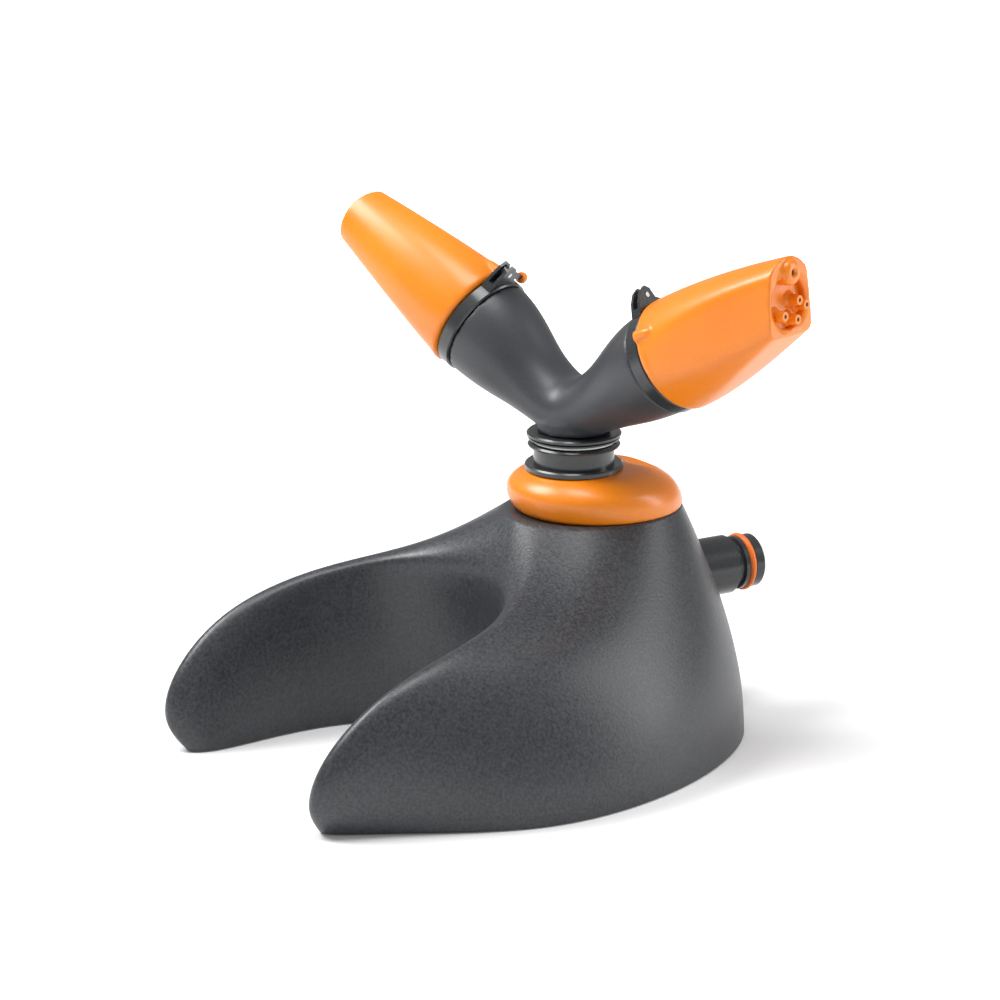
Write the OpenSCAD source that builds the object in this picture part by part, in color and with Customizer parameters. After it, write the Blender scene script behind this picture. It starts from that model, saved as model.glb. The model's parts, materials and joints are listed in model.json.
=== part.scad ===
// Rotating lawn sprinkler: a two-legged base with a rear hose inlet, a free-spinning
// V-shaped arm and two spray heads that turn on the arm's ends to set the spray.
// Millimetres. Origin on the ground under the spin axis, +Z up, legs towards -Y,
// hose inlet towards +Y.

/* [Base] */
// Wall thickness of the base shell
base_wall = 2.4; // [1.8:0.2:2.8]
// Height of the base shell, up to the cap
base_h = 67; // [66:0.5:68]
// Thickness of the bottom plate
plate_t = 2.2; // [1.6:0.2:2.6]
// Gap between the bottom plate and the shell around it
plate_gap = 0.4; // [0.3:0.05:0.5]

/* [Cap] */
// Half width of the cap across the body
cap_rx = 24; // [23.6:0.2:24.6]
// Half length of the cap, front to back
cap_ry = 25.6; // [25.4:0.2:26]
// How far the cap's middle lies behind the spin axis
cap_y = 8.6; // [8.4:0.1:8.8]
// Height of the cap
cap_h = 12.3; // [12:0.1:12.6]

/* [Bearing] */
// Radius of the housing's foot flange
flange_r = 14.2; // [13.8:0.2:15]
// Radius of the housing's column
column_r = 11.7; // [11.2:0.1:12.2]
// Radius of the collar that turns on the housing
collar_r = 13.7; // [13.4:0.1:14.2]
// Radius of the hollow shaft
shaft_r = 7; // [6.6:0.1:7.4]
// Running gap round the shaft and round each arm spigot
run_gap = 0.05; // [0.03:0.01:0.08]

/* [Rotor] */
// Direction in which the first arm points, from +X
rotor_angle = 20; // [0:1:40]
// Upward tilt of the arm ends
arm_tilt = 29.4; // [28.6:0.2:30.2]
// Distance of each arm's end face from the spin axis
arm_reach = 32.2; // [31.6:0.2:32.8]
// Height of the middle of each arm's end face
arm_end_z = 115.6; // [115:0.2:116.2]
// Radius of the arm at its end
arm_end_r = 15; // [14.8:0.1:15.2]
// Radius of the arm at the middle of the V
arm_mid_r = 10.6; // [10.4:0.1:11]

/* [Heads] */
// Where the right head's spray face tilts to, round its arm from the top
turn_right = 180; // [60:5:300]
// Where the left head's spray face tilts to, round its arm from the top
turn_left = 125; // [60:5:300]
// Length of a head, from the arm's end face to the middle of its spray face
head_l = 49; // [48.5:0.5:49.5]
// Radius of a head at its widest
head_r = 16.4; // [16.2:0.1:16.6]
// How far the spray face leans from square
face_tilt = 25; // [24:0.5:26]
// Radius of the lock ring
ring_r = 15.5; // [15.3:0.1:15.8]
// Width of the lock ring
ring_w = 4.3; // [4:0.1:4.4]
// Radius of the jet plate in the spray face
jet_r = 7.6; // [7.4:0.1:7.7]

/* [Hose inlet] */
// Height of the inlet above the ground
inlet_z = 42; // [41:0.5:43]
// Radius of the inlet's collar
inlet_collar_r = 8.7; // [8.5:0.1:8.8]
// Radius of the inlet's nose
inlet_nose_r = 7.9; // [7.8:0.05:8]
// Where the nose ends, behind the spin axis
inlet_end_y = 62.5; // [62:0.5:63]

/* [Hidden] */
grey = [0.23, 0.24, 0.25];
black = [0.1, 0.1, 0.11];
orange = [0.95, 0.45, 0.08];
steel = [0.7, 0.7, 0.72];
eps = 0.01;
$fn = 64;

// Heights of the bearing stack, from the deck under the cap upwards
deck_z = 61;
deck_t = 3;
cap_top = base_h + cap_h;
flange_t = 1.6;
column_top = cap_top + flange_t + 4.7;
rim_top = column_top + 1.4;
washer_t = 0.5;
collar_bottom = rim_top + 0.4 + washer_t;
collar_top = 90.2;
shaft_bottom = 67.5;
shaft_top = 94;
clip_z = 71;

// Shape of the base: smooth columns of points from the foot up to the cap, given for
// the half with x above 0, from the middle of the heel round a leg to the gap's middle
heel_column = [[0, 55.2, 0], [0, 54.7, 13], [0, 51.6, 27], [0, 47.2, 41], [0, 42, 52], [0, 37.5, 61], [0, 34.6, base_h]];
leg_columns = [
    [[31, 43.2, 0], [30.6, 42.7, 13], [28.3, 40.4, 27], [25, 37.4, 40], [21, 34.5, 51], [17.5, 32, 60.5], [13.6, 30, base_h]],
    [[54.2, 14.5, 0], [53.2, 14.5, 13], [49.3, 14, 26], [43.4, 13.8, 38], [36.5, 14.2, 49], [29.5, 15.5, 58.5], [22.4, 18.5, base_h]],
    [[67.5, -18, 0], [66.5, -18, 12], [62, -17.5, 25], [54, -15, 36.5], [45, -11, 46], [34.5, -4, 55.5], [24.2, 5, base_h]],
    [[71, -54, 0], [70.5, -54, 11], [66.5, -52.5, 24], [60, -49, 36], [51, -40, 44.5], [38, -20, 51.5], [20.8, -6.5, base_h]],
    [[50, -90, 0], [53, -92.5, 8], [54, -88, 23], [52.8, -75, 36.5], [48, -54, 46], [36, -27, 51.5], [15.2, -14.2, base_h]],
    [[41.5, -110, 0], [46, -118.5, 8], [47, -114, 22], [47.2, -94.5, 40], [44, -61, 48.5], [33, -33.5, 52], [10.4, -17.8, base_h]],
    [[33.5, -101.5, 0], [34.5, -106, 9], [37, -101.5, 24], [41.5, -83.5, 40], [40, -56, 47.5], [28, -34.5, 52.5], [7.5, -19.3, base_h]],
    [[41, -68, 0], [41, -68, 12], [41, -65, 26], [40.5, -58, 40], [35, -46, 48], [21, -33.5, 53.5], [5, -20.2, base_h]],
    [[34, -36, 0], [34, -36.5, 13], [33, -37.5, 28], [30.5, -38.5, 42], [24, -37, 50], [13, -31.5, 55.5], [2.5, -20.8, base_h]]
];
gap_column = [[0, -19, 0], [0, -20, 14], [0, -23, 30], [0, -27, 43], [0, -29.5, 51.5], [0, -28, 58.5], [0, -21, base_h]];
base_net = concat([heel_column], leg_columns, [gap_column],
    [for (i = [len(leg_columns) - 1:-1:0]) [for (p = leg_columns[i]) [-p[0], p[1], p[2]]]]);
around_steps = 4;
rise_steps = 3;

// Screws that hold the bottom plate, in the heel and in each leg
screw_at = [[0, 36], [44, -22], [-44, -22], [49, -80], [-49, -80]];
rib_at = [[-1.2, 37, 2.4, 12.4], [45, -23.2, 19.6, 2.4], [-64.6, -23.2, 19.6, 2.4], [39.9, -81.2, 17, 2.4], [-56.9, -81.2, 17, 2.4]];
screw_r = 1.5;
screw_head_r = 3;
post_r = 3.6;

// The base's points at even steps round and up
function spline_weights(t) = [pow(1 - t, 3), 3 * pow(t, 3) - 6 * t * t + 4,
    -3 * pow(t, 3) + 3 * t * t + 3 * t + 1, pow(t, 3)] / 6;
function with_ends(c) = concat([2 * c[0] - c[1]], c, [2 * c[len(c) - 1] - c[len(c) - 2]]);
function along(c, n) = [for (k = [0:(len(c) - 3) * n])
    let (i = min(floor(k / n), len(c) - 4), w = spline_weights(k / n - i))
    w[0] * c[i] + w[1] * c[i + 1] + w[2] * c[i + 2] + w[3] * c[i + 3]];
function row_round(rows, r, n) = let (m = len(rows))
    [for (i = [0:m - 1], k = [0:n - 1]) let (w = spline_weights(k / n))
        w[0] * rows[(i + m - 1) % m][r] + w[1] * rows[i][r] + w[2] * rows[(i + 1) % m][r] + w[3] * rows[(i + 2) % m][r]];
risen = [for (c = base_net) along(with_ends(c), rise_steps)];
base_rows = [for (r = [0:len(risen[0]) - 1]) row_round(risen, r, around_steps)];
function unit(v) = v / norm(v);
function inset_rows(rows, d) = let (last = len(rows) - 1, m = len(rows[0])) [for (r = [0:last]) [for (i = [0:m - 1])
    let (
        round_step = rows[r][(i + 1) % m] - rows[r][(i + m - 1) % m],
        up_step = rows[min(r + 1, last)][i] - rows[max(r - 1, 0)][i],
        n = unit(cross(up_step, round_step)),
        flat = unit([n[0], n[1], 0]),
        p = rows[r][i]
    )
    (r == 0 || r == last) ? [p[0] - d * flat[0], p[1] - d * flat[1], p[2]] : p - d * n]];

mid_rows = inset_rows(base_rows, base_wall / 2);
function column_at(rows, i, z) = [for (r = [0:len(rows) - 2])
    let (a = rows[r][i], b = rows[r + 1][i]) if (a[2] <= z && z < b[2]) a + (b - a) * (z - a[2]) / (b[2] - a[2])][0];
function row_at(rows, z) = [for (i = [len(rows[0]) - 1:-1:0]) column_at(rows, i, z)];

// A closed solid skinned over rings of the same number of points
module skin(rings) {
    m = len(rings[0]);
    last = len(rings) - 1;
    polyhedron(
        points = [for (ring = rings) each ring],
        faces = concat(
            [[for (i = [0:m - 1]) i]],
            [[for (i = [m - 1:-1:0]) last * m + i]],
            [for (r = [0:last - 1], i = [0:m - 1]) [r * m + i, (r + 1) * m + i, r * m + (i + 1) % m]],
            [for (r = [0:last - 1], i = [0:m - 1]) [r * m + (i + 1) % m, (r + 1) * m + i, (r + 1) * m + (i + 1) % m]]
        )
    );
}

// Rings of a solid with its inside rows turned round, joined top and bottom into a shell
module shell(outer, inner) {
    m = len(outer[0]);
    n = len(outer);
    loop = concat(outer, [for (r = [n - 1:-1:0]) inner[r]]);
    rows = len(loop);
    polyhedron(
        points = [for (ring = loop) each ring],
        faces = [for (r = [0:rows - 1], i = [0:m - 1], half = [0, 1])
            let (a = r * m + i, b = r * m + (i + 1) % m, c = ((r + 1) % rows) * m + i, d = ((r + 1) % rows) * m + (i + 1) % m)
            half == 0 ? [a, b, c] : [b, d, c]]
    );
}

module ring_of(r_out, r_in, h) {
    difference() {
        cylinder(r = r_out, h = h);
        translate([0, 0, -eps]) cylinder(r = r_in, h = h + 2 * eps);
    }
}

module o_ring(mid_r, wire_r) {
    rotate_extrude() translate([mid_r, 0]) circle(r = wire_r, $fn = 24);
}

// --- base ---

module base_shell() {
    color(grey) difference() {
        union() {
            shell(base_rows, inset_rows(base_rows, base_wall));
            skin([for (z = [deck_z, deck_z + deck_t / 2, deck_z + deck_t]) row_at(mid_rows, z)]);
            for (p = screw_at) translate([p[0], p[1], plate_t + 0.05]) cylinder(r = post_r, h = 11);
            for (b = rib_at) translate([b[0], b[1], plate_t + 0.05]) cube([b[2], b[3], 10]);
        }
        for (p = screw_at) translate([p[0], p[1], 0]) cylinder(r = screw_r - 0.25, h = plate_t + 12, $fn = 32);
        for (p = cap_screw_at) translate([p[0], p[1], deck_z - 1]) cylinder(r = 1.5, h = 20, $fn = 32);
        translate([0, 0, deck_z - 1]) cylinder(r = 9.2, h = 20, $fn = 32);
        translate([0, 30, inlet_z]) rotate([-90, 0, 0]) cylinder(r = inlet_collar_r + 0.2, h = 40, $fn = 32);
        translate([0, 30, inlet_z]) rotate([-90, 0, 0]) cylinder(r = 10.6, h = 8.9, $fn = 32);
    }
}

base_foot = inset_rows(base_rows, base_wall + plate_gap)[0];

module base_plate() {
    color(grey) difference() {
        linear_extrude(plate_t) polygon([for (i = [0:len(base_foot) - 1])
            if (norm(base_foot[(i + 1) % len(base_foot)] - base_foot[i]) > 1) [base_foot[i][0], base_foot[i][1]]]);
        for (p = screw_at) translate([p[0], p[1], -eps]) {
            cylinder(r = screw_r + 0.2, h = plate_t + 1, $fn = 32);
            cylinder(r1 = screw_head_r + 0.3, r2 = screw_r + 0.2, h = 1.6, $fn = 32);
        }
    }
}

module plate_screws() {
    color(steel) for (p = screw_at) translate([p[0], p[1], 0.2]) difference() {
        union() {
            cylinder(r1 = screw_head_r, r2 = screw_r - 0.3, h = 1.6);
            cylinder(r = screw_r - 0.3, h = plate_t + 9);
        }
        translate([0, 0, -eps]) cylinder(r = 1.2, h = 0.9, $fn = 6);
    }
}

// One level of the cap: an oval with share s of the cap's size, at height z
function cap_level(s, y, z, in = 0) = [for (a = [0:7.5:359])
    [(s * cap_rx - in) * cos(a), y + (s * cap_ry - in) * sin(a), z]];
cap_shape = [[0.955, 0.1], [0.975, 0.7], [1, 3], [0.99, 5.4], [0.955, 7.4], [0.895, 8.9], [0.8, 10.6], [0.68, 11.8], [0.58, cap_h]];
dish_r = 14;
dish_at = [1.5, 26, cap_top + 10.4];
cap_screw_at = [[-13, 15], [13, 15], [0, -14.2]];

module top_cap() {
    color(orange) difference() {
        union() {
            difference() {
                skin([for (c = cap_shape) cap_level(c[0], cap_y * (1 - 0.62 * c[1] / cap_h), base_h + c[1])]);
                skin([for (c = cap_shape) cap_level(c[0], cap_y * (1 - 0.62 * c[1] / cap_h), base_h + c[1] * 0.82 - 0.5, 2.4)]);
            }
            for (p = cap_screw_at) translate([p[0], p[1], base_h + 0.1]) cylinder(r = 3, h = p[1] < 0 ? 7.5 : 8);
            translate([0, 0, base_h + 7]) cylinder(r = column_r + 2, h = 4);
        }
        translate([0, 0, base_h - 1]) cylinder(r = column_r + 0.1, h = 30);
        for (p = cap_screw_at) translate([p[0], p[1], base_h - 1]) cylinder(r = 1.15, h = 6.5, $fn = 32);
        translate(dish_at) sphere(r = dish_r, $fn = 48);
    }
}

module cap_screws() {
    color(steel) for (p = cap_screw_at) translate([p[0], p[1], deck_z - 1.6]) {
        cylinder(r = 2.6, h = 1.5);
        cylinder(r = 1.1, h = 12);
    }
}

// Fixed housing: a foot on the deck, a column through the cap and a rim the arm turns on
module bearing_housing() {
    color(black) rotate_extrude() polygon([
        [7.8, deck_z - 4], [9.1, deck_z - 4], [9.1, deck_z + deck_t + 0.05], [column_r, deck_z + deck_t + 0.05],
        [column_r, cap_top + 0.1], [flange_r, cap_top + 0.1], [flange_r, cap_top + flange_t - 0.4],
        [flange_r - 0.4, cap_top + flange_t], [column_r, cap_top + flange_t], [column_r, column_top],
        [collar_r - 0.5, column_top + 0.4], [collar_r - 0.3, rim_top - 0.5], [collar_r - 0.8, rim_top],
        [shaft_r + run_gap, rim_top], [shaft_r + run_gap, 79.6], [8.3, 79.6], [8.3, 77.4], [shaft_r + run_gap, 77.4],
        [shaft_r + run_gap, clip_z + 1.8], [9.3, clip_z + 1.8], [9.3, deck_z + deck_t + 2], [7.8, deck_z + deck_t]
    ]);
}

module shaft_seal() {
    color(black) translate([0, 0, 78.5]) o_ring(shaft_r + run_gap + 0.61, 0.6);
}

// Elbow that leads the water from the inlet up to the housing
module water_duct() {
    color(grey) difference() {
        union() {
            translate([0, 0, inlet_z - 8]) cylinder(r = 7.7, h = deck_z - inlet_z + 10);
            translate([0, 0, inlet_z]) rotate([-90, 0, 0]) cylinder(r = 8.4, h = 35);
            translate([0, 0, deck_z - 7]) cylinder(r = 10, h = 2.8);
        }
        translate([0, 0, inlet_z - 5.4]) cylinder(r = 5.4, h = 40);
        translate([0, 0, inlet_z]) rotate([-90, 0, 0]) cylinder(r = 5.4, h = 40);
        translate([0, 22, inlet_z]) rotate([-90, 0, 0]) cylinder(r = 6.55, h = 20);
    }
}

module inlet_washer() {
    color(black) translate([0, 35.1, inlet_z]) rotate([-90, 0, 0]) ring_of(10, 6.6, 1.3);
}

module hose_connector() {
    y1 = inlet_end_y;
    color(black) translate([0, 0, inlet_z]) rotate([-90, 0, 0]) rotate_extrude() polygon([
        [5, 22.4], [6.5, 22.4], [6.5, 36.5], [10.4, 36.5], [10.4, 38.8], [inlet_collar_r, 38.8],
        [inlet_collar_r, y1 - 9.7], [7.6, y1 - 8.9], [6.9, y1 - 8.4], [6.9, y1 - 7.3], [inlet_nose_r, y1 - 6.9],
        [inlet_nose_r, y1 - 5.6], [6.55, y1 - 5.6], [6.55, y1 - 3.3], [inlet_nose_r, y1 - 3.3],
        [inlet_nose_r, y1 - 0.6], [inlet_nose_r - 0.6, y1], [5.6, y1], [5, y1 - 0.6]
    ]);
}

module connector_oring() {
    color(orange) translate([0, inlet_end_y - 4.45, inlet_z]) rotate([-90, 0, 0]) o_ring(7.56, 0.98);
}

// --- rotor ---

module rotor_frame() {
    rotate([0, 0, rotor_angle]) children();
}

// The end of one arm: +Z out along the arm, +X up
module at_arm(side) {
    rotate([0, 0, rotor_angle + (side > 0 ? 0 : 180)]) translate([arm_reach, 0, arm_end_z])
        rotate([0, 90 - arm_tilt, 0]) rotate([0, 0, 180]) children();
}

// Arm rings from the right end to the left: reach, height, lean, upright and level half width
function arm_ring(d, lean, up, level, drop = 0) =
    [arm_reach - d * cos(arm_tilt), arm_end_z - d * sin(arm_tilt) - drop, lean, up, level];
half_arm = [
    arm_ring(0, arm_tilt, arm_end_r, arm_end_r), arm_ring(5, arm_tilt, arm_end_r - 0.3, arm_end_r - 0.2, 0.1),
    arm_ring(12, arm_tilt, 13.1, 13.8, 1), arm_ring(20, arm_tilt - 1, 10.2, 11.8, 2.1), arm_ring(28, 20, 8.9, arm_mid_r + 0.8, 2.3)
];
arm_net = concat(half_arm, [[0, 96, 0, 9.1, arm_mid_r + 0.8]],
    [for (i = [len(half_arm) - 1:-1:0]) let (r = half_arm[i]) [-r[0], r[1], -r[2], r[3], r[4]]]);
arm_path = along(with_ends(arm_net), 2);
function arm_skin(in, grow, n) = [for (i = [0:len(arm_path) - 1])
    let (r = arm_path[i], g = i == 0 ? grow : (i == len(arm_path) - 1 ? -grow : 0))
    [for (k = [0:n - 1]) let (a = 360 * k / n, up = (r[3] - in) * cos(a))
        [r[0] - up * sin(r[2]) + g * cos(arm_tilt), (r[4] - in) * sin(a), r[1] + up * cos(r[2]) + abs(g) * sin(arm_tilt)]]];

module rotor_arms() {
    color(grey) difference() {
        rotor_frame() union() {
            skin(arm_skin(0, 0, 36));
            translate([0, 0, collar_top + 0.05]) cylinder(r = arm_mid_r, h = 97 - collar_top);
        }
        rotor_frame() skin(arm_skin(2.3, 0.05, 24));
        cylinder(r = shaft_r + 0.05, h = shaft_top + 1);
        translate([0, 0, collar_top - 9.95]) cylinder(r = collar_r + 1, h = 10);
        for (side = [1, -1]) at_arm(side) translate([0, 0, -6]) cylinder(r = arm_end_r - 2.7, h = 7);
    }
}

module hub_collar() {
    color(black) rotate_extrude() polygon([
        [shaft_r + 0.05, collar_bottom], [collar_r - 1.2, collar_bottom], [collar_r - 0.4, collar_bottom + 0.3],
        [collar_r - 0.4, collar_bottom + 0.7], [collar_r - 1, collar_bottom + 1], [collar_r, collar_bottom + 1.3],
        [collar_r, collar_top - 0.4], [collar_r - 0.5, collar_top], [shaft_r + 0.05, collar_top]
    ]);
}

module rotor_shaft() {
    color(grey) rotate_extrude() polygon([
        [4.6, shaft_bottom], [shaft_r, shaft_bottom], [shaft_r, clip_z - 0.05], [shaft_r - 0.6, clip_z - 0.05],
        [shaft_r - 0.6, clip_z + 1.25], [shaft_r, clip_z + 1.25], [shaft_r, shaft_top], [4.6, shaft_top]
    ]);
}

module shaft_clip() {
    color(steel) translate([0, 0, clip_z]) ring_of(8.6, shaft_r - 0.55, 1.2);
}

module thrust_washer() {
    color([0.9, 0.9, 0.88]) translate([0, 0, rim_top + 0.35]) ring_of(12, shaft_r + 0.05, washer_t);
}

// Turned parts on the arm's end: a plug in the arm and the tube the head turns on
module spigot(side) {
    color(black) at_arm(side) difference() {
        union() {
            translate([0, 0, -5.95]) cylinder(r = arm_end_r - 2.75, h = 5.95);
            cylinder(r = 10.9, h = 4.9);
            cylinder(r = 9, h = 19.6);
            translate([8.4, -1.8, 4]) cube([2.2, 3.6, 3.2]);
        }
        translate([0, 0, -7]) cylinder(r = 6.2, h = 40);
        translate([0, 0, 11]) ring_of(9.5, 7.75, 1.4);
        translate([0, 0, 17.5]) ring_of(9.5, 8.2, 1.1);
    }
}

lug = [[14, 6.8], [18, 4.9], [20.6, 2.6], [21.8, 0.2], [20.7, -1.5], [18.8, -2.1], [16.8, -2.9], [14, -4.8]];
latch_at = [19, 0.5];

module lock_ring(side) {
    color(black) at_arm(side) difference() {
        union() {
            translate([0, 0, 0.1]) rotate_extrude() polygon([
                [10.95, 0], [ring_r - 0.4, 0], [ring_r, 0.4], [ring_r, ring_w - 0.4], [ring_r - 0.4, ring_w], [10.95, ring_w]
            ]);
            translate([0, 0, 0.5]) linear_extrude(3.5) polygon([for (p = lug) [p[0], side * p[1]]]);
        }
        translate([ring_r + 0.7, -9, 1.4]) cube([8, 18, 1.7]);
        translate([latch_at[0], side * latch_at[1], -1]) cylinder(r = 0.8, h = 8, $fn = 24);
    }
}

module latch_pin(side) {
    color(steel) at_arm(side) translate([latch_at[0], side * latch_at[1], 0.4]) cylinder(r = 0.75, h = 3.7, $fn = 24);
}

// Small lever between the lug's ears, reaching down round the ring on the far side
module latch(side) {
    color(black) at_arm(side) translate([0, 0, 1.7]) difference() {
        union() {
            translate([latch_at[0], side * latch_at[1], 0]) cylinder(r = 1.75, h = 1.1);
            translate([latch_at[0], side * latch_at[1], 0]) rotate([0, 0, side > 0 ? -113.5 : 113.5])
                translate([0, -0.9, 0]) cube([9.4, 1.8, 1.1]);
        }
        translate([latch_at[0], side * latch_at[1], -1]) cylinder(r = 0.8, h = 8, $fn = 24);
    }
}

module latch_tip(side) {
    color(orange) at_arm(side) translate([latch_at[0], side * latch_at[1], 2.25]) rotate([0, 0, side > 0 ? -113.5 : 113.5])
        translate([9.5, 0, 0]) rotate([0, 90, 0]) rotate_extrude() polygon([
            [0, 0], [1.3, 0], [1.6, 0.5], [1.7, 1.6], [1.3, 2.5], [0, 2.9]
        ]);
}

module spigot_seal(side) {
    color(black) at_arm(side) translate([0, 0, 11.7]) o_ring(8.41, 0.6);
}

module spigot_clip(side) {
    color(steel) at_arm(side) translate([0, 0, 17.55]) ring_of(11.4, 8.25, 1);
}

// --- spray heads: the face leans towards +X, the index boss is 120 degrees before it ---

rim_z = 0.1 + ring_w + 0.35;
head_shape = [[head_r - 0.5, rim_z], [head_r - 0.2, rim_z + 0.4], [head_r, rim_z + 3], [head_r, rim_z + 8],
    [head_r - 0.2, rim_z + 13], [head_r - 0.5, rim_z + 18], [head_r - 1, rim_z + 24], [head_r - 1.6, rim_z + 30],
    [head_r - 2.5, rim_z + 37], [head_r - 3.7, rim_z + 43], [head_r - 4.9, rim_z + 49], [head_r - 6, rim_z + 54],
    [head_r - 7.2, rim_z + 60]];

head_bore = head_r - 3;

module at_head(side) {
    at_arm(side) rotate([0, 0, side > 0 ? turn_right : turn_left]) children();
}

module at_face() {
    translate([0, 0, head_l]) rotate([0, face_tilt, 0]) children();
}

module head_shell(side) {
    color(orange) at_head(side) difference() {
        union() {
            difference() {
                rotate_extrude() polygon(concat([[0, rim_z]], head_shape, [[0, rim_z + 60]]));
                for (s = [1, -1]) translate([0, s * (head_r - 0.6), rim_z + 4.2]) rotate([s * 8.8, 0, 0])
                    translate([-30, s > 0 ? 0 : -30, 0]) cube([60, 30, 100]);
                translate([head_r - 0.2, 0, rim_z + 11]) rotate([0, -14, 0]) translate([0, -30, 0]) cube([30, 60, 100]);
                at_face() translate([-30, -30, 0]) cube([60, 60, 30]);
                at_face() translate([0.6, 0, 20.6]) sphere(r = 22.6, $fn = 96);
            }
            at_face() translate([-7.6, 0, 0]) rotate_extrude() polygon([[0, -5], [3.7, -5], [3.7, 0.6], [2.8, 2], [0, 2]]);
            rotate([0, 0, -120]) translate([head_r - 0.7, 0, rim_z + 0.25]) rotate_extrude() polygon([
                [0, 0], [2.2, 0], [1.8, 4.2], [0.9, 6.2], [0, 6.2]
            ]);
        }
        rotate_extrude() polygon([
            [0, rim_z - 1], [head_bore, rim_z - 1], [head_bore, rim_z + 11], [head_bore - 1.4, rim_z + 19],
            [head_bore - 3.3, rim_z + 31], [head_bore - 4, rim_z + 35], [0, rim_z + 35]
        ]);
        translate([-7.6, 0, rim_z + 34]) cylinder(r = 1, h = head_l - rim_z - 32.5, $fn = 24);
        at_face() translate([0.6, 0, -4.4]) cylinder(r = jet_r + 0.05, h = 9);
        at_face() translate([0.6, 0, -11]) cylinder(r = jet_r - 1.2, h = 11);
        at_face() translate([-7.6, 0, 0]) rotate_extrude() polygon([[0, -3], [0.7, -3], [0.7, 1.5], [1.7, 2.5], [0, 2.5]]);
        rotate([0, 0, -120]) translate([head_r - 0.2, 0, rim_z - 1]) cylinder(r = 0.9, h = 4, $fn = 24);
    }
}

jets = [[3.2, -4.6], [5, 1.2], [-0.2, 2.4], [1.6, 5.6]];

module jet_plate(side) {
    color(orange) at_head(side) at_face() translate([0.6, 0, 0]) difference() {
        union() {
            translate([0, 0, -4.35]) cylinder(r = jet_r, h = 2);
            intersection() {
                union() for (p = jets) translate([p[0], p[1], -3]) {
                    cylinder(r1 = 1.9, r2 = 1.35, h = 4.6, $fn = 32);
                    translate([0, 0, 0.6]) cylinder(r1 = 2.6, r2 = 1.5, h = 1.4, $fn = 32);
                }
                translate([0, 0, -3]) cylinder(r = jet_r, h = 6);
            }
        }
        for (p = jets) translate([p[0], p[1], -6]) cylinder(r = 0.6, h = 12, $fn = 24);
    }
}

// Bearing sleeve fixed in the head, with the key that meets the spigot's stop
module head_sleeve(side) {
    color(grey) at_head(side) difference() {
        union() {
            translate([0, 0, rim_z + 3.3]) cylinder(r = head_bore - 0.05, h = 2);
            translate([0, 0, rim_z + 3.3]) cylinder(r = 12, h = 17 - rim_z - 3.3);
            translate([9.4, -1.8, 5.3]) cube([2, 3.6, rim_z + 3.3 - 5.2]);
        }
        translate([0, 0, 4]) cylinder(r = 9 + run_gap, h = 40);
    }
}

base_shell();
base_plate();
plate_screws();
top_cap();
cap_screws();
bearing_housing();
shaft_seal();
water_duct();
inlet_washer();
hose_connector();
connector_oring();
rotor_arms();
hub_collar();
rotor_shaft();
shaft_clip();
thrust_washer();
spigot(1);  // spigot_right
spigot(-1);  // spigot_left
lock_ring(1);  // lock_ring_right
lock_ring(-1);  // lock_ring_left
spigot_seal(1);  // spigot_seal_right
spigot_seal(-1);  // spigot_seal_left
spigot_clip(1);  // spigot_clip_right
spigot_clip(-1);  // spigot_clip_left
latch_pin(1);  // latch_pin_right
latch_pin(-1);  // latch_pin_left
latch(1);  // latch_right
latch(-1);  // latch_left
latch_tip(1);  // latch_tip_right
latch_tip(-1);  // latch_tip_left
head_shell(1);  // head_shell_right
head_shell(-1);  // head_shell_left
head_sleeve(1);  // head_sleeve_right
head_sleeve(-1);  // head_sleeve_left
jet_plate(1);  // jet_plate_right
jet_plate(-1);  // jet_plate_left
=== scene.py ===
# Rotating lawn sprinkler: looks, floor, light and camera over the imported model.
# Pieces are modelled in millimetres in their own frames and placed in metres by addPiece.
import json
import math

import bmesh
import bpy
from mathutils import Matrix, Vector


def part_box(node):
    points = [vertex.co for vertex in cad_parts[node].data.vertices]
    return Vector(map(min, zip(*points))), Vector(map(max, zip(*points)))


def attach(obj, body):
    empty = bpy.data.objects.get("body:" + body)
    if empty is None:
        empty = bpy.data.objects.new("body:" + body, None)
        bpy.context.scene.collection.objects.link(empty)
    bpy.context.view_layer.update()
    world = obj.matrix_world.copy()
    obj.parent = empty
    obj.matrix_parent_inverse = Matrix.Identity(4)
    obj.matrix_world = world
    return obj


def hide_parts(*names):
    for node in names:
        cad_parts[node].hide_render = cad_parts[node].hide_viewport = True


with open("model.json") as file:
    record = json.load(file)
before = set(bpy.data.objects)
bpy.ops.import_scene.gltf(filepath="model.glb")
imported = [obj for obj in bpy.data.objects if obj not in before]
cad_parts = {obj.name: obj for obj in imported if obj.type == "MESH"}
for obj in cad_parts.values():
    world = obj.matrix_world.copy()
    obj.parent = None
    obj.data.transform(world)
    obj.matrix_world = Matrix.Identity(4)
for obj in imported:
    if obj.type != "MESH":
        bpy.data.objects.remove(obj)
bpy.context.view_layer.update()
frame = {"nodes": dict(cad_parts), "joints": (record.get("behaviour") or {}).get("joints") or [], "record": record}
scene = bpy.context.scene
scene.view_settings.view_transform = "Standard"


# --- small helpers ---

def boxMillimetres(node):
    low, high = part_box(node)
    return [c * 1000 for c in low], [c * 1000 for c in high]


def jointNamed(name):
    return next(j for j in frame["joints"] if j["name"] == name)


# The bmesh after some modifiers, each given as a kind and its settings
def refined(bm, *modifiers):
    mesh = bpy.data.meshes.new("work")
    bm.to_mesh(mesh)
    bm.free()
    work = bpy.data.objects.new("work", mesh)
    scene.collection.objects.link(work)
    for kind, settings in modifiers:
        modifier = work.modifiers.new(kind, kind)
        for key, value in settings.items():
            setattr(modifier, key, value)
    result = bmesh.new()
    result.from_object(work, bpy.context.evaluated_depsgraph_get())
    bpy.data.objects.remove(work)
    bpy.data.meshes.remove(mesh)
    return result


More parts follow.
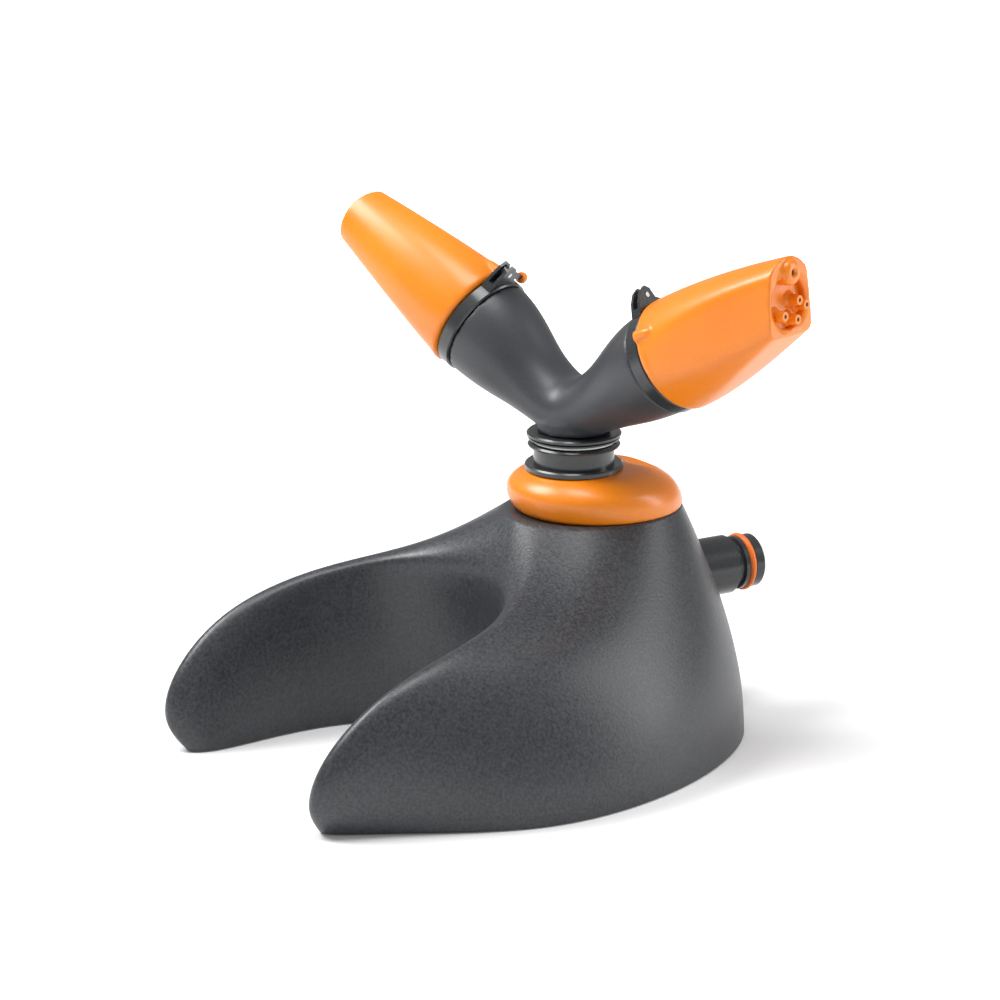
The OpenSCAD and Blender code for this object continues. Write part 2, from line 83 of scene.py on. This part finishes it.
# What is left of bm when every cutter is taken away from it
def carved(bm, *cutters):
    for cutter in cutters:
        mesh = bpy.data.meshes.new("cutter")
        cutter.to_mesh(mesh)
        cutter.free()
        tool = bpy.data.objects.new("cutter", mesh)
        scene.collection.objects.link(tool)
        bm = refined(bm, ("BOOLEAN", {"operation": "DIFFERENCE", "solver": "EXACT", "object": tool}))
        bpy.data.objects.remove(tool)
        bpy.data.meshes.remove(mesh)
    return bm


# A closed turned solid about +Z from an open profile of (radius, height) points
def turned(profile, steps=96):
    bm = bmesh.new()
    verts = [bm.verts.new((r, 0, z)) for r, z in profile]
    edges = [bm.edges.new(pair) for pair in zip(verts, verts[1:])]
    bmesh.ops.spin(
        bm, geom=verts + edges, axis=(0, 0, 1), cent=(0, 0, 0), angle=math.tau, steps=steps, use_merge=True,
    )
    bmesh.ops.remove_doubles(bm, verts=bm.verts, dist=0.0005)
    bmesh.ops.dissolve_degenerate(bm, edges=bm.edges, dist=0.0001)
    bmesh.ops.recalc_face_normals(bm, faces=bm.faces)
    return bm


def moved(bm, matrix):
    bmesh.ops.transform(bm, matrix=matrix, verts=bm.verts)
    return bm


# Faces between each ring of vertices and the next
def bridged(bm, rings):
    for first, second in zip(rings, rings[1:]):
        ends = set(first), set(second)
        bmesh.ops.bridge_loops(bm, edges=[e for e in bm.edges if any(set(e.verts) <= ring for ring in ends)])


# All of several closed solids in one bmesh
def joined(*parts):
    whole = bmesh.new()
    for part in parts:
        mesh = bpy.data.meshes.new("part")
        part.to_mesh(mesh)
        part.free()
        whole.from_mesh(mesh)
        bpy.data.meshes.remove(mesh)
    return whole


# Makes bm a finished piece that rides on a body and stands for CAD nodes
def addPiece(name, bm, place, body, slotName, material, *nodes):
    moved(bm, Matrix.Scale(0.001, 4) @ place)
    mesh = bpy.data.meshes.new(name)
    bm.to_mesh(mesh)
    bm.free()
    mesh.shade_smooth()
    mesh.materials.append(material)
    piece = bpy.data.objects.new(name, mesh)
    scene.collection.objects.link(piece)
    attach(piece, body)
    if nodes:
        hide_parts(*nodes)
    return piece


# --- finishes ---

# A moulded or rubbery surface: fine grain, cloudy colour and uneven gloss
def moulded(name, look):
    material = bpy.data.materials.new(name)
    material.use_nodes = True
    tree = material.node_tree
    shader = tree.nodes["Principled BSDF"]
    shader.inputs["Metallic"].default_value = look.get("metal", 0)
    shader.inputs["Coat Weight"].default_value = look.get("coat", 0)
    shader.inputs["Coat Roughness"].default_value = look.get("coatRough", 0.15)
    shader.inputs["Specular IOR Level"].default_value = look.get("specular", 0.5)
    shader.inputs["Subsurface Weight"].default_value = look.get("glow", 0)
    shader.inputs["Subsurface Radius"].default_value = (0.6, 0.25, 0.08)
    shader.inputs["Subsurface Scale"].default_value = 0.003
    place = tree.nodes.new("ShaderNodeTexCoord")

    grain = tree.nodes.new("ShaderNodeTexNoise")
    grain.inputs["Scale"].default_value = look["grainScale"]
    grain.inputs["Detail"].default_value = 3
    cloud = tree.nodes.new("ShaderNodeTexNoise")
    cloud.inputs["Scale"].default_value = look.get("cloudScale", 28)
    cloud.inputs["Detail"].default_value = 4
    for texture in (grain, cloud):
        tree.links.new(place.outputs["Object"], texture.inputs["Vector"])

    speckle = tree.nodes.new("ShaderNodeMix")
    speckle.data_type = "FLOAT"
    speckle.inputs[0].default_value = look.get("speckle", 0.5)
    tree.links.new(cloud.outputs["Fac"], speckle.inputs[2])
    tree.links.new(grain.outputs["Fac"], speckle.inputs[3])
    ramp = tree.nodes.new("ShaderNodeValToRGB")
    ramp.color_ramp.elements[0].position = 0.34
    ramp.color_ramp.elements[0].color = (*look["dark"], 1)
    ramp.color_ramp.elements[1].position = 0.66
    ramp.color_ramp.elements[1].color = (*look["light"], 1)
    tree.links.new(speckle.outputs[0], ramp.inputs["Fac"])
    tree.links.new(ramp.outputs["Color"], shader.inputs["Base Color"])

    gloss = tree.nodes.new("ShaderNodeMapRange")
    gloss.inputs["From Min"].default_value = 0.3
    gloss.inputs["From Max"].default_value = 0.7
    gloss.inputs["To Min"].default_value = look["rough"][0]
    gloss.inputs["To Max"].default_value = look["rough"][1]
    tree.links.new(speckle.outputs[0], gloss.inputs["Value"])
    tree.links.new(gloss.outputs["Result"], shader.inputs["Roughness"])

    relief = tree.nodes.new("ShaderNodeBump")
    relief.inputs["Strength"].default_value = look["relief"]
    relief.inputs["Distance"].default_value = look.get("depth", 0.0002)
    tree.links.new(grain.outputs["Fac"], relief.inputs["Height"])
    tree.links.new(relief.outputs["Normal"], shader.inputs["Normal"])
    return material


basePlastic = moulded("basePlastic", {
    "dark": (0.019, 0.0215, 0.025), "light": (0.053, 0.057, 0.064), "grainScale": 1150, "speckle": 0.75,
    "rough": (0.31, 0.45), "relief": 0.4, "depth": 0.00016,
})
rotorPlastic = moulded("rotorPlastic", {
    "dark": (0.027, 0.029, 0.034), "light": (0.047, 0.05, 0.057), "grainScale": 2200, "speckle": 0.4,
    "rough": (0.4, 0.48), "relief": 0.06, "coat": 0.06, "coatRough": 0.3,
})
orangePlastic = moulded("orangePlastic", {
    "dark": (0.74, 0.18, 0.003), "light": (0.83, 0.235, 0.005), "grainScale": 1500, "speckle": 0.3,
    "rough": (0.3, 0.4), "relief": 0.035, "coat": 0.12, "coatRough": 0.2, "glow": 0.03,
})
blackPlastic = moulded("blackPlastic", {
    "dark": (0.016, 0.018, 0.019), "light": (0.03, 0.032, 0.034), "grainScale": 1600, "speckle": 0.4,
    "rough": (0.24, 0.34), "relief": 0.05, "coat": 0.2,
})
greyPlastic = moulded("greyPlastic", {
    "dark": (0.13, 0.135, 0.14), "light": (0.18, 0.185, 0.19), "grainScale": 1300,
    "rough": (0.4, 0.5), "relief": 0.1,
})
whitePlastic = moulded("whitePlastic", {
    "dark": (0.72, 0.72, 0.69), "light": (0.8, 0.8, 0.77), "grainScale": 1200,
    "rough": (0.35, 0.45), "relief": 0.05,
})
brightSteel = moulded("brightSteel", {
    "dark": (0.5, 0.5, 0.51), "light": (0.66, 0.66, 0.67), "grainScale": 900, "rough": (0.22, 0.38),
    "relief": 0.05, "metal": 1,
})
sealRubber = moulded("sealRubber", {
    "dark": (0.012, 0.012, 0.012), "light": (0.022, 0.022, 0.022), "grainScale": 1800, "rough": (0.6, 0.75),
    "relief": 0.12,
})
orangeRubber = moulded("orangeRubber", {
    "dark": (0.72, 0.14, 0.01), "light": (0.84, 0.19, 0.015), "grainScale": 1400,
    "rough": (0.4, 0.5), "relief": 0.06,
})
boreShade = moulded("boreShade", {
    "dark": (0.02, 0.006, 0.003), "light": (0.035, 0.01, 0.004), "grainScale": 1500,
    "rough": (0.6, 0.7), "relief": 0.05,
})

finishOfSlot = {
    "base_plastic": basePlastic, "rotor_plastic": rotorPlastic, "orange_plastic": orangePlastic,
    "black_plastic": blackPlastic, "grey_plastic": greyPlastic, "white_plastic": whitePlastic,
    "steel": brightSteel, "seal_rubber": sealRubber, "orange_rubber": orangeRubber,
}
for subpart in frame["record"]["subparts"]:
    node = frame["nodes"][subpart["node"]]
    for materialSlot in node.material_slots:
        materialSlot.material = finishOfSlot[subpart["material_slot"]]
print("finishes are on the CAD nodes")


# --- base shell: a smooth net of columns from the foot up to the cap ---

baseShell = {
    "wall": 2.4,
    "smoothing": 4,
    "shelf": 0.72,
    "middle": 8,
    # half of the body with x above 0, from the middle of the heel round a leg to the gap
    "columns": [
        [(0, 55.2, 0), (0, 54.7, 13), (0, 51.6, 27), (0, 47.2, 41), (0, 42, 52), (0, 37.5, 61), (0, 34.6, 67)],
        [(31, 43.2, 0), (30.6, 42.7, 13), (28.3, 40.4, 27), (25, 37.4, 40), (21, 34.5, 51), (17.5, 32, 60.5),
         (13.6, 30, 67)],
        [(54.2, 14.5, 0), (53.2, 14.5, 13), (49.3, 14, 26), (43.4, 13.8, 38), (36.5, 14.2, 49), (29.5, 15.5, 58.5),
         (22.4, 18.5, 67)],
        [(67.5, -18, 0), (66.5, -18, 12), (62, -17.5, 25), (54, -15, 36.5), (45, -11, 46), (34.5, -4, 55.5),
         (24.2, 5, 67)],
        [(71, -54, 0), (70.5, -54, 11), (66.5, -52.5, 24), (60, -49, 36), (51, -40, 44.5), (38, -20, 51.5),
         (20.8, -6.5, 67)],
        [(50, -90, 0), (53, -92.5, 8), (54, -88, 23), (52.8, -75, 36.5), (48, -54, 46), (36, -27, 51.5),
         (15.2, -14.2, 67)],
        [(41.5, -110, 0), (46, -118.5, 8), (47, -114, 22), (47.2, -94.5, 40), (44, -61, 48.5), (33, -33.5, 52),
         (10.4, -17.8, 67)],
        [(33.5, -101.5, 0), (34.5, -106, 9), (37, -101.5, 24), (41.5, -83.5, 40), (40, -56, 47.5), (28, -34.5, 52.5),
         (7.5, -19.3, 67)],
        [(41, -68, 0), (41, -68, 12), (41, -65, 26), (40.5, -58, 40), (35, -46, 48), (21, -33.5, 53.5),
         (5, -20.2, 67)],
        [(34, -36, 0), (34, -36.5, 13), (33, -37.5, 28), (30.5, -38.5, 42), (24, -37, 50), (13, -31.5, 55.5),
         (2.5, -20.8, 67)],
        [(0, -19, 0), (0, -20, 14), (0, -23, 30), (0, -27, 43), (0, -29.5, 51.5), (0, -28, 58.5), (0, -21, 67)],
    ],
}


def makeBaseShell():
    bm = bmesh.new()
    columns = [[bm.verts.new(p) for p in column] for column in baseShell["columns"]]
    for column in columns:
        for lower, upper in zip(column, column[1:]):
            bm.edges.new((lower, upper))
    for first, second in zip(columns, columns[1:]):
        for i in range(len(first) - 1):
            bm.faces.new((first[i], first[i + 1], second[i + 1], second[i]))
    bmesh.ops.mirror(bm, geom=bm.verts[:] + bm.edges[:] + bm.faces[:], axis="X", merge_dist=0.01)
    bmesh.ops.remove_doubles(bm, verts=bm.verts, dist=0.01)
    bmesh.ops.recalc_face_normals(bm, faces=bm.faces)
    bm.faces.ensure_lookup_table()
    outward = max(bm.faces, key=lambda f: f.calc_center_median().x)
    if outward.normal.x < 0:
        bmesh.ops.reverse_faces(bm, faces=bm.faces)
    bm = refined(bm, ("SUBSURF", {"levels": baseShell["smoothing"], "render_levels": baseShell["smoothing"]}))
    brim = [e for e in bm.edges if e.is_boundary and e.verts[0].co.z > 60]
    shelf = bmesh.ops.extrude_edge_only(bm, edges=brim)["geom"]  # shelf that the cap stands on
    for vert in (v for v in shelf if isinstance(v, bmesh.types.BMVert)):
        vert.co.x *= baseShell["shelf"]
        vert.co.y = baseShell["middle"] + (vert.co.y - baseShell["middle"]) * baseShell["shelf"]
    bm = refined(bm, ("SOLIDIFY", {"thickness": baseShell["wall"], "offset": -1}))
    low, high = boxMillimetres("base_shell")
    for vert in bm.verts:
        vert.co = [min(max(c, a), b) for c, a, b in zip(vert.co, low, high)]
    return bm


addPiece("baseShell", makeBaseShell(), Matrix(), "base", "base_plastic", basePlastic, "base_shell")
print("base shell is on")


# --- cap: an oval dome with a thumb scoop behind the column ---

capShell = {
    "high": boxMillimetres("top_cap")[1],
    "foot": 67,
    "middle": 8.6,
    "halfLength": 25.6,
    "shift": 0.62,  # share of the backward shift lost towards the top
    "levels": [(0.955, 0.1), (0.975, 0.7), (1, 3), (0.99, 5.4), (0.955, 7.4), (0.895, 8.9),
               (0.8, 10.6), (0.68, 11.8)],
    "bore": 11.85,
    "scoopRadius": 14,
    "scoopRise": 10.4,
    "scoopAt": (1.5, 26),
    "wall": 2.2,
}


def makeCap():
    look = capShell
    foot = look["foot"]
    halfWidth, _, top = look["high"]
    height = top - foot
    bm = bmesh.new()
    rings = []
    for share, z in look["levels"]:
        centre = Matrix.Translation((0, look["middle"] * (1 - look["shift"] * z / height), foot + z))
        size = Matrix.Diagonal((share * halfWidth, share * look["halfLength"], 1, 1))
        rings.append(bmesh.ops.create_circle(bm, segments=48, radius=1, matrix=centre @ size)["verts"])
    for r, z in ((look["bore"] + 1.2, top), (look["bore"], top), (look["bore"], top - 3)):
        place = Matrix.Translation((0, 0, z))
        rings.append(bmesh.ops.create_circle(bm, segments=48, radius=r, matrix=place)["verts"])
    bridged(bm, rings)
    bmesh.ops.recalc_face_normals(bm, faces=bm.faces)
    side = max(bm.faces, key=lambda f: f.calc_center_median().x)
    if side.normal.x < 0:
        bmesh.ops.reverse_faces(bm, faces=bm.faces)
    bm = refined(bm, ("SUBSURF", {"levels": 3, "render_levels": 3}))
    centre = Vector((*look["scoopAt"], top + look["scoopRise"]))
    for vert in bm.verts:
        away = vert.co - centre
        if away.length < look["scoopRadius"] and vert.co.z > foot + 4:
            drop = math.sqrt(look["scoopRadius"] ** 2 - away.x ** 2 - away.y ** 2)
            vert.co.z = min(vert.co.z, centre.z - drop)
    return refined(
        bm,
        ("SMOOTH", {"factor": 0.5, "iterations": 3}),
        ("SOLIDIFY", {"thickness": look["wall"], "offset": -1}),
    )


addPiece("capShell", makeCap(), Matrix(), "base", "orange_plastic", orangePlastic, "top_cap")
print("cap is on")


# --- arms: one V-shaped body, blended down to the collar ---

rightTurn = jointNamed("head_turn_right")
armEnd = Vector(rightTurn["pos_m"]) * 1000
armAxis = Vector(rightTurn["axis"])
rotorAngle = math.atan2(armEnd.y, armEnd.x)
armBody = {
    "reach": math.hypot(armEnd.x, armEnd.y),
    "endHeight": armEnd.z,
    "tilt": math.asin(armAxis.z),
    "neckRadius": 10.6,
    "neckFoot": 90.25,
    "voxel": 0.55,
    # distance in from the arm's end, lean in degrees, upright and level half width, drop
    "rings": [
        (0, 29.4, 15, 15, 0), (5, 29.4, 14.7, 14.8, 0.1), (12, 29.4, 13.1, 13.8, 1),
        (20, 28.4, 10.2, 11.8, 2.1), (28, 20, 8.9, 11.4, 2.3),
    ],
    "middle": (96, 9.1, 11.4),
}


def makeArms():
    look = armBody
    segments = 24
    fuller = 3 / (2 + math.cos(math.tau / segments))
    half = []
    for inward, lean, up, level, drop in look["rings"]:
        x = look["reach"] - inward * math.cos(look["tilt"])
        z = look["endHeight"] - inward * math.sin(look["tilt"]) - drop
        half.append((x, z, math.radians(lean), up, level))
    height, up, level = look["middle"]
    full = half + [(0, height, 0, up, level)] + [(-x, z, -lean, u, v) for x, z, lean, u, v in reversed(half)]
    bm = bmesh.new()
    rings = []
    for x, z, lean, up, level in full:
        place = (
            Matrix.Translation((x, 0, z)) @ Matrix.Rotation(math.pi / 2 - lean, 4, "Y")
            @ Matrix.Diagonal((up * fuller, level * fuller, 1, 1))
        )
        rings.append(bmesh.ops.create_circle(bm, segments=segments, radius=1, matrix=place)["verts"])
    bridged(bm, rings)
    bm = refined(bm, ("SUBSURF", {"levels": 3, "render_levels": 3}))
    bmesh.ops.holes_fill(bm, edges=[e for e in bm.edges if e.is_boundary])
    bmesh.ops.recalc_face_normals(bm, faces=bm.faces)
    r, foot = look["neckRadius"], look["neckFoot"]
    neck = turned([
        (0, foot), (r, foot), (r, foot + 1.2), (r + 0.3, foot + 2.6), (r + 1, foot + 4), (r + 0.4, 96), (0, 97),
    ])
    bm = refined(
        joined(bm, neck),
        ("REMESH", {"mode": "VOXEL", "voxel_size": look["voxel"]}),
        ("SMOOTH", {"factor": 0.5, "iterations": 8}),
    )
    for vert in bm.verts:
        vert.co.z = max(vert.co.z, foot)
    return bm


armPlace = Matrix.Rotation(rotorAngle, 4, "Z")
addPiece("armBody", makeArms(), armPlace, "rotor", "rotor_plastic", rotorPlastic, "rotor_arms")
print("arms are on")


# --- spray heads: a tapering shell with soft flats and a dished spray face ---

headShell = {
    "radius": 16.4,
    "rim": 4.75,
    "length": 49,
    "faceTilt": math.radians(25),
    "taper": 7.2,
    "sideFlat": (0.6, 4.2, math.radians(8.8)),  # in from the side, out from the rim, lean
    "backFlat": (0.2, 11, math.radians(14)),
    "dish": 22.6,
    "dishDepth": 2,
    "faceShift": 0.6,
    "bossAt": -7.6,
    "bossTurn": math.radians(-120),
    "edgeSoftness": 0.9,
    "voxel": 0.42,
    "jetRadius": 7.6,
    "jets": [(3.2, -4.6), (5, 1.2), (-0.2, 2.4), (1.6, 5.6)],
    "turn": {"right": 180, "left": 125},
}


# Frame of an arm's end: +Z out along the arm, +X up, turned by an angle about the arm
def armFrame(side, turn=0):
    joint = jointNamed("head_turn_" + side)
    out = Vector(joint["axis"]).normalized()
    up = (Vector((0, 0, 1)) - out * out.z).normalized()
    across = out.cross(up)
    frameMatrix = Matrix((up, across, out)).transposed().to_4x4()
    frameMatrix.translation = Vector(joint["pos_m"]) * 1000
    return frameMatrix @ Matrix.Rotation(math.radians(turn), 4, "Z")


def faceFrame():
    return Matrix.Translation((0, 0, headShell["length"])) @ Matrix.Rotation(headShell["faceTilt"], 4, "Y")


# Eases a point back behind a plane, with a soft edge where the flat begins
def eased(point, onPlane, normal, softness):
    ahead = (point - onPlane).dot(normal)
    kept = (ahead - math.sqrt(ahead * ahead + softness * softness)) / 2
    return point - normal * (ahead - kept) if ahead > -6 * softness else point


def makeHead():
    look = headShell
    r, rim = look["radius"], look["rim"]
    profile = [(0, rim), (r - 0.9, rim), (r - 0.35, rim + 0.35), (r - 0.1, rim + 1), (r, rim + 3)]
    for i in range(56):
        along = (i + 1) / 56
        profile.append((r - look["taper"] * along ** 1.75, rim + 4 + 54 * along))
    profile.append((0, rim + 58))
    bm = turned(profile, 128)
    inward, outward, lean = look["sideFlat"]
    flats = [
        (Vector((0, side * (r - inward), rim + outward)), Vector((0, side * math.cos(lean), math.sin(lean))))
        for side in (1, -1)
    ]
    inward, outward, lean = look["backFlat"]
    flats.append((Vector((r - inward, 0, rim + outward)), Vector((math.cos(lean), 0, math.sin(lean)))))
    for vert in bm.verts:
        if vert.co.z > rim + 2 and vert.co.xy.length > 2:
            for onPlane, normal in flats:
                vert.co = eased(vert.co, onPlane, normal, look["edgeSoftness"])
    face = faceFrame()
    bmesh.ops.bisect_plane(
        bm, geom=bm.verts[:] + bm.edges[:] + bm.faces[:], plane_co=face.translation,
        plane_no=face.to_3x3() @ Vector((0, 0, 1)), clear_outer=True,
    )
    bmesh.ops.holes_fill(bm, edges=[e for e in bm.edges if e.is_boundary])
    bmesh.ops.recalc_face_normals(bm, faces=bm.faces)

    bore = r - 3
    cavity = turned([
        (0, rim - 1), (bore, rim - 1), (bore, rim + 11), (bore - 1.4, rim + 19), (bore - 3.3, rim + 31),
        (bore - 4, rim + 35), (0, rim + 35),
    ])
    seatRadius = look["jetRadius"] + 0.05
    seat = moved(turned([(0, -4.4), (seatRadius, -4.4), (seatRadius, 6), (0, 6)]),
                 face @ Matrix.Translation((look["faceShift"], 0, 0)))
    dish = bmesh.new()
    bmesh.ops.create_uvsphere(dish, u_segments=96, v_segments=64, radius=look["dish"])
    moved(dish, face @ Matrix.Translation((look["faceShift"], 0, look["dish"] - look["dishDepth"])))
    bm = carved(bm, cavity, dish, seat)

    boss = moved(turned([(0, -4), (3.6, -4), (3.6, 0.7), (3.2, 1.5), (2.4, 1.95), (0, 2)], 64),
                 face @ Matrix.Translation((look["bossAt"], 0, 0)))
    index = moved(turned([(0, 0.3), (2, 0.3), (2.2, 0.7), (1.8, 4.2), (1.3, 5.8), (0.7, 6.4), (0, 6.5)], 48),
                  Matrix.Rotation(look["bossTurn"], 4, "Z") @ Matrix.Translation((r - 0.7, 0, rim)))
    bm = refined(
        joined(bm, boss, index),
        ("REMESH", {"mode": "VOXEL", "voxel_size": look["voxel"]}),
        ("SMOOTH", {"factor": 0.5, "iterations": 5}),
    )
    outlet = moved(turned([(0, -2.5), (0.75, -2.5), (0.75, 1.2), (1.5, 2), (1.5, 3), (0, 3)], 32),
                   face @ Matrix.Translation((look["bossAt"], 0, 0)))
    hollow = moved(turned([(0, -1), (1.1, -1), (1.1, 3), (0, 3.4)], 32),
                   Matrix.Rotation(look["bossTurn"], 4, "Z") @ Matrix.Translation((r - 0.1, 0, rim)))
    return carved(bm, outlet, hollow)


# Dark discs at the bottom of the outlets, where no light reaches
def makeBores():
    look = headShell
    bm = bmesh.new()
    face = faceFrame()
    for x, y in look["jets"]:
        bmesh.ops.create_circle(bm, cap_ends=True, segments=24, radius=0.58,
                                matrix=face @ Matrix.Translation((look["faceShift"] + x, y, 1.5)))
    bmesh.ops.create_circle(bm, cap_ends=True, segments=24, radius=0.72,
                            matrix=face @ Matrix.Translation((look["bossAt"], 0, 1.1)))
    return bm


for side in ("right", "left"):
    place = armFrame(side, headShell["turn"][side])
    body = "head_" + side
    addPiece("headShell_" + side, makeHead(), place, body, "orange_plastic", orangePlastic, "head_shell_" + side)
    addPiece("jetBores_" + side, makeBores(), place, body, "orange_plastic", boreShade)
print("spray heads are on")


# --- floor, light and camera ---

stageLook = {
    "cameraAt": (1.0248, -0.6386, 0.4112),
    "heading": 59.08,
    "pitch": 15.81,
    "lens": 156.53,
    "floorSize": 12,
    "paintedFloorGlow": (0.06, 0.75),  # painted floor glow, near the object and far from it
    "fade": (0.15, 0.55),
    "worldGlow": 0.36,
}


def makeStage():
    bpy.ops.mesh.primitive_plane_add(size=stageLook["floorSize"], location=(0, 0, -0.0004))
    floor = bpy.context.object
    floor.name = "floor"
    paintedGlowPaper = bpy.data.materials.new("floorPaperWithPaintedGlow")
    paintedGlowPaper.use_nodes = True
    shader = paintedGlowPaper.node_tree.nodes["Principled BSDF"]
    shader.inputs["Base Color"].default_value = (0.93, 0.93, 0.935, 1)
    shader.inputs["Roughness"].default_value = 0.7
    # Painted light: the floor itself glows, dim near the object and bright white far from it
    shader.inputs["Emission Color"].default_value = (1, 1, 1, 1)
    place = paintedGlowPaper.node_tree.nodes.new("ShaderNodeTexCoord")
    distance = paintedGlowPaper.node_tree.nodes.new("ShaderNodeVectorMath")
    distance.operation = "LENGTH"
    fade = paintedGlowPaper.node_tree.nodes.new("ShaderNodeMapRange")
    fade.interpolation_type = "SMOOTHSTEP"
    fade.inputs["From Min"].default_value = stageLook["fade"][0]
    fade.inputs["From Max"].default_value = stageLook["fade"][1]
    fade.inputs["To Min"].default_value = stageLook["paintedFloorGlow"][0]
    fade.inputs["To Max"].default_value = stageLook["paintedFloorGlow"][1]
    paintedGlowPaper.node_tree.links.new(place.outputs["Object"], distance.inputs[0])
    paintedGlowPaper.node_tree.links.new(distance.outputs["Value"], fade.inputs["Value"])
    paintedGlowPaper.node_tree.links.new(fade.outputs["Result"], shader.inputs["Emission Strength"])
    floor.data.materials.append(paintedGlowPaper)

    world = bpy.data.worlds.new("studio")
    world.use_nodes = True
    tree = world.node_tree
    glow = tree.nodes["Background"]
    glow.inputs["Color"].default_value = (1, 1, 1, 1)
    glow.inputs["Strength"].default_value = stageLook["worldGlow"]
    backdrop = tree.nodes.new("ShaderNodeBackground")  # what is seen behind the floor
    backdrop.inputs["Color"].default_value = (1, 1, 1, 1)
    ray = tree.nodes.new("ShaderNodeLightPath")
    choice = tree.nodes.new("ShaderNodeMixShader")
    tree.links.new(ray.outputs["Is Camera Ray"], choice.inputs["Fac"])
    tree.links.new(glow.outputs["Background"], choice.inputs[1])
    tree.links.new(backdrop.outputs["Background"], choice.inputs[2])
    tree.links.new(choice.outputs["Shader"], tree.nodes["World Output"].inputs["Surface"])
    scene.world = world


def addLight(name, at, towards, size, power, tint=(1, 1, 1)):
    data = bpy.data.lights.new(name, "AREA")
    data.shape = "RECTANGLE"
    data.size, data.size_y = size
    data.energy = power
    data.color = tint
    light = bpy.data.objects.new(name, data)
    light.location = at
    light.rotation_euler = (Vector(towards) - Vector(at)).to_track_quat("-Z", "Y").to_euler()
    scene.collection.objects.link(light)


def addCamera():
    heading, pitch = math.radians(stageLook["heading"]), math.radians(stageLook["pitch"])
    data = bpy.data.cameras.new("mainCamera")
    data.lens = stageLook["lens"]
    data.sensor_width = 36
    camera = bpy.data.objects.new("mainCamera", data)
    camera.location = stageLook["cameraAt"]
    forward = Vector((-math.sin(heading) * math.cos(pitch), math.cos(heading) * math.cos(pitch), -math.sin(pitch)))
    camera.rotation_euler = forward.to_track_quat("-Z", "Y").to_euler()
    scene.collection.objects.link(camera)
    scene.camera = camera


makeStage()
addLight("keySoftbox", (-0.45, -0.55, 0.95), (0, 0, 0.06), (0.5, 0.5), 13)
addLight("topSoftbox", (0.15, -0.1, 1.2), (0, 0, 0.08), (0.5, 0.4), 6.5)
addLight("rightStrip", (0.45, 0.85, 0.4), (0, 0, 0.08), (0.2, 0.7), 3.5)
addCamera()
print("stage is set")
